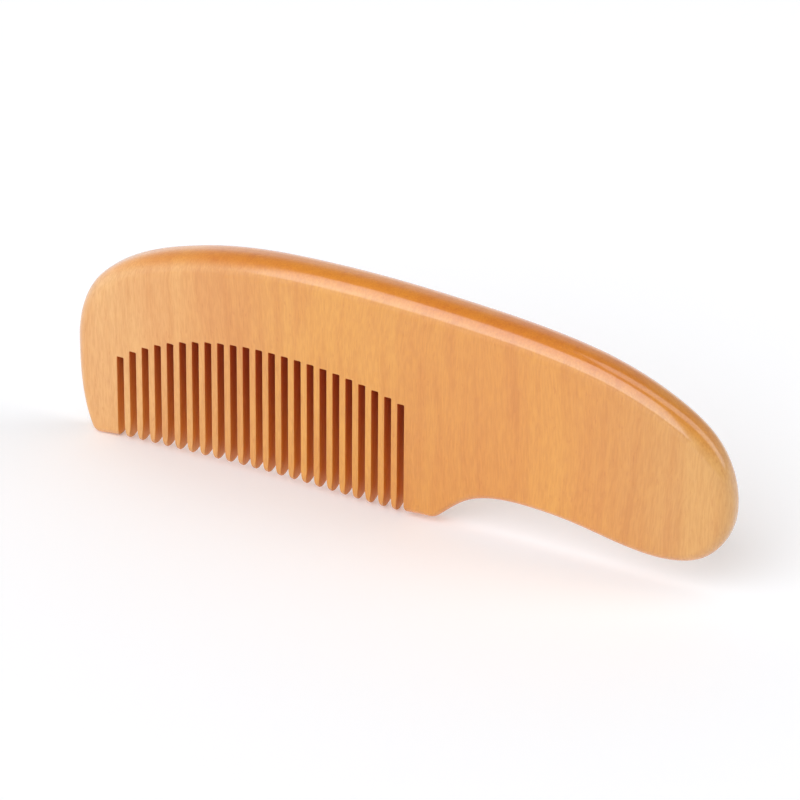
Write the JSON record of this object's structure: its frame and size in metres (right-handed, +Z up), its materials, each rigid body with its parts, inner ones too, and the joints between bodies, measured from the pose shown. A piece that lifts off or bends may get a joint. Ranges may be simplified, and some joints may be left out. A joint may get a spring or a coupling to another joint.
{
  "type": "hair comb",
  "caption": "One-piece wooden comb with wide saw-cut teeth under a domed back and a broad rounded handle with a finger hollow below it.",
  "frame": {"origin": "on the ground under the middle of the comb's bounding box, with the comb standing on its teeth", "axes": "+X along the comb towards the handle, -Y out of the front face, +Z up, along the teeth towards the back of the comb"},
  "size_m": [0.1806, 0.0118, 0.0627],
  "materials": {
    "lacquered_wood": "satin clear lacquer over fine-grained light fruitwood"
  },
  "bodies": {
    "root": {"comb_body": "lacquered_wood"}
  },
  "joints": []
}
